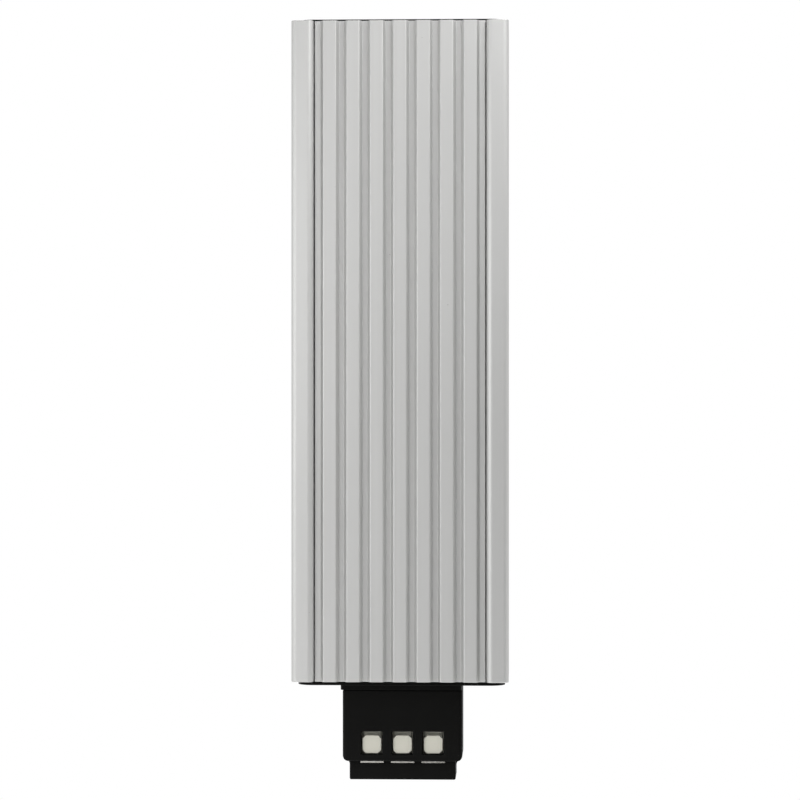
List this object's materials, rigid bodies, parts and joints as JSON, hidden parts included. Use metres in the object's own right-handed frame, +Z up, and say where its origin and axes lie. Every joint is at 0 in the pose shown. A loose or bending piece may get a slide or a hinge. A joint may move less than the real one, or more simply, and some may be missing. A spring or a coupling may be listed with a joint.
{
  "type": "enclosure heater",
  "caption": "Rail-mounted convection heater for electrical cabinets: ridged aluminium profile with hidden heating stones, black end caps and a spring terminal housing below.",
  "frame": {"origin": "middle of the rail's front face, where the clip seats on it", "axes": "+Z up along the profile, front towards -Y, +X to the right seen from the front"},
  "size_m": [0.07, 0.0504, 0.2475],
  "materials": {
    "anodised_aluminium": "satin, as extruded and anodised",
    "black_plastic": "moulded, fine matt texture",
    "pale_plastic": "moulded, smooth satin",
    "zinc_steel": "zinc plated",
    "spring_steel": "bright spring steel",
    "tinned_brass": "tin plated",
    "electrode_metal": "bright rolled strip",
    "heating_ceramic": "sintered, dark grey",
    "frame_plastic": "heat-resistant moulding",
    "insulating_film": "amber film",
    "brown_insulation": "silicone wire insulation",
    "blue_insulation": "silicone wire insulation",
    "green_insulation": "silicone wire insulation"
  },
  "bodies": {
    "heater": {"heater_profile": "anodised_aluminium", "top_cap": "black_plastic", "top_cap_screws": "zinc_steel", "bottom_cap": "black_plastic", "bottom_cap_screws": "zinc_steel", "terminal_housing": "black_plastic", "terminal_block": "black_plastic", "live_cage": "tinned_brass", "neutral_cage": "tinned_brass", "earth_cage": "tinned_brass", "live_spring": "spring_steel", "neutral_spring": "spring_steel", "earth_spring": "spring_steel", "heating_stones": "heating_ceramic", "stone_frame": "frame_plastic", "front_electrode": "electrode_metal", "rear_electrode": "electrode_metal", "insulating_sleeve": "insulating_film", "live_lead": "brown_insulation", "neutral_lead": "blue_insulation", "earth_lead": "green_insulation", "earth_tag": "tinned_brass", "earth_screw": "zinc_steel", "rail_clip": "spring_steel", "rail_clip_screws": "zinc_steel"},
    "live_pusher": {"live_pusher": "pale_plastic"},
    "neutral_pusher": {"neutral_pusher": "pale_plastic"},
    "earth_pusher": {"earth_pusher": "pale_plastic"}
  },
  "joints": [
    {"name": "live_push", "type": "slide", "parent": "heater", "child": "live_pusher", "axis": [0, 1, 0], "range_m": [0, 0.002], "stiffness_N_per_m": 3000, "deforming": ["live_spring"]},
    {"name": "neutral_push", "type": "slide", "parent": "heater", "child": "neutral_pusher", "axis": [0, 1, 0], "range_m": [0, 0.002], "stiffness_N_per_m": 3000, "deforming": ["neutral_spring"]},
    {"name": "earth_push", "type": "slide", "parent": "heater", "child": "earth_pusher", "axis": [0, 1, 0], "range_m": [0, 0.002], "stiffness_N_per_m": 3000, "deforming": ["earth_spring"]}
  ]
}
